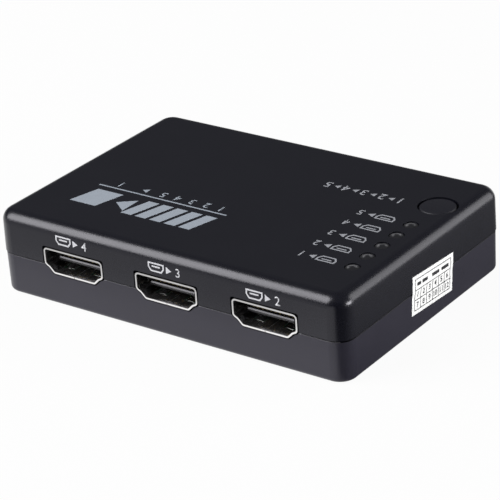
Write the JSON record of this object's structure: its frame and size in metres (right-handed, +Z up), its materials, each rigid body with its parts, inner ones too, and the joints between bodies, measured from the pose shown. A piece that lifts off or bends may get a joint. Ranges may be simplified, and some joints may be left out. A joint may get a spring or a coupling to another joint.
{
  "type": "video switch box",
  "caption": "Flat black plastic box with rows of digital video sockets on both long sides, a row of indicator lamps and a push button that picks which input is sent on.",
  "frame": {"origin": "middle of the flat underside", "axes": "+X along the socket rows towards the end with the lamps and button, +Y towards the side with input 1, the output and input 5, +Z up"},
  "size_m": [0.0831, 0.0572, 0.0178],
  "materials": {
    "case_plastic": "satin black moulding with a fine grain",
    "button_plastic": "satin black moulding",
    "socket_plastic": "black moulding",
    "chip_plastic": "dull black moulding",
    "shell_metal": "bright nickel plate on stamped sheet",
    "tinned_metal": "tinned",
    "screw_steel": "zinc plate",
    "contact_gold": "gold flash",
    "spring_metal": "bare spring bronze",
    "can_metal": "bright can",
    "board_laminate": "green solder mask",
    "chip_ceramic": "fired ceramic",
    "lamp_resin": "smoke-tinted clear resin, unlit",
    "label_paper": "white paper with a thin grid"
  },
  "bodies": {
    "case": {"top_cover": "case_plastic", "bottom_cover": "case_plastic", "case_screws": "screw_steel", "date_label": "label_paper", "switch_body": "socket_plastic", "switch_frame": "shell_metal", "switch_dome": "spring_metal", "switch_terminals": "tinned_metal", "led_leads": "tinned_metal", "circuit_board": "board_laminate", "board_screws": "screw_steel", "switch_chip": "chip_plastic", "switch_chip_pins": "tinned_metal", "control_chip": "chip_plastic", "control_chip_pins": "tinned_metal", "regulator": "chip_plastic", "regulator_pins": "tinned_metal", "crystal": "shell_metal", "capacitor_feet": "socket_plastic", "filter_capacitors": "can_metal", "chip_resistors": "chip_ceramic", "chip_capacitors": "chip_ceramic", "power_body": "socket_plastic", "power_pin": "shell_metal", "power_contacts": "spring_metal", "remote_body": "socket_plastic", "remote_bush": "shell_metal", "remote_contacts": "spring_metal", "led_1": "lamp_resin", "led_2": "lamp_resin", "led_3": "lamp_resin", "led_4": "lamp_resin", "led_5": "lamp_resin", "shell_in1": "shell_metal", "insulator_in1": "socket_plastic", "contacts_in1": "contact_gold", "shell_in2": "shell_metal", "insulator_in2": "socket_plastic", "contacts_in2": "contact_gold", "shell_in3": "shell_metal", "insulator_in3": "socket_plastic", "contacts_in3": "contact_gold", "shell_in4": "shell_metal", "insulator_in4": "socket_plastic", "contacts_in4": "contact_gold", "shell_in5": "shell_metal", "insulator_in5": "socket_plastic", "contacts_in5": "contact_gold", "shell_out": "shell_metal", "insulator_out": "socket_plastic", "contacts_out": "contact_gold"},
    "button": {"select_button": "button_plastic"},
    "plunger": {"switch_plunger": "socket_plastic"}
  },
  "joints": [
    {"name": "button_press", "type": "slide", "parent": "case", "child": "button", "axis": [0, 0, -1], "range_m": [0, 0.0004], "stiffness_N_per_m": 800, "springref_m": -0.001},
    {"name": "plunger_press", "type": "slide", "parent": "case", "child": "plunger", "axis": [0, 0, -1], "range_m": [0, 0.0004], "deforming": ["switch_dome"]}
  ],
  "couplings": [
    {"joint": "plunger_press", "follows": "button_press", "ratio": 1}
  ]
}
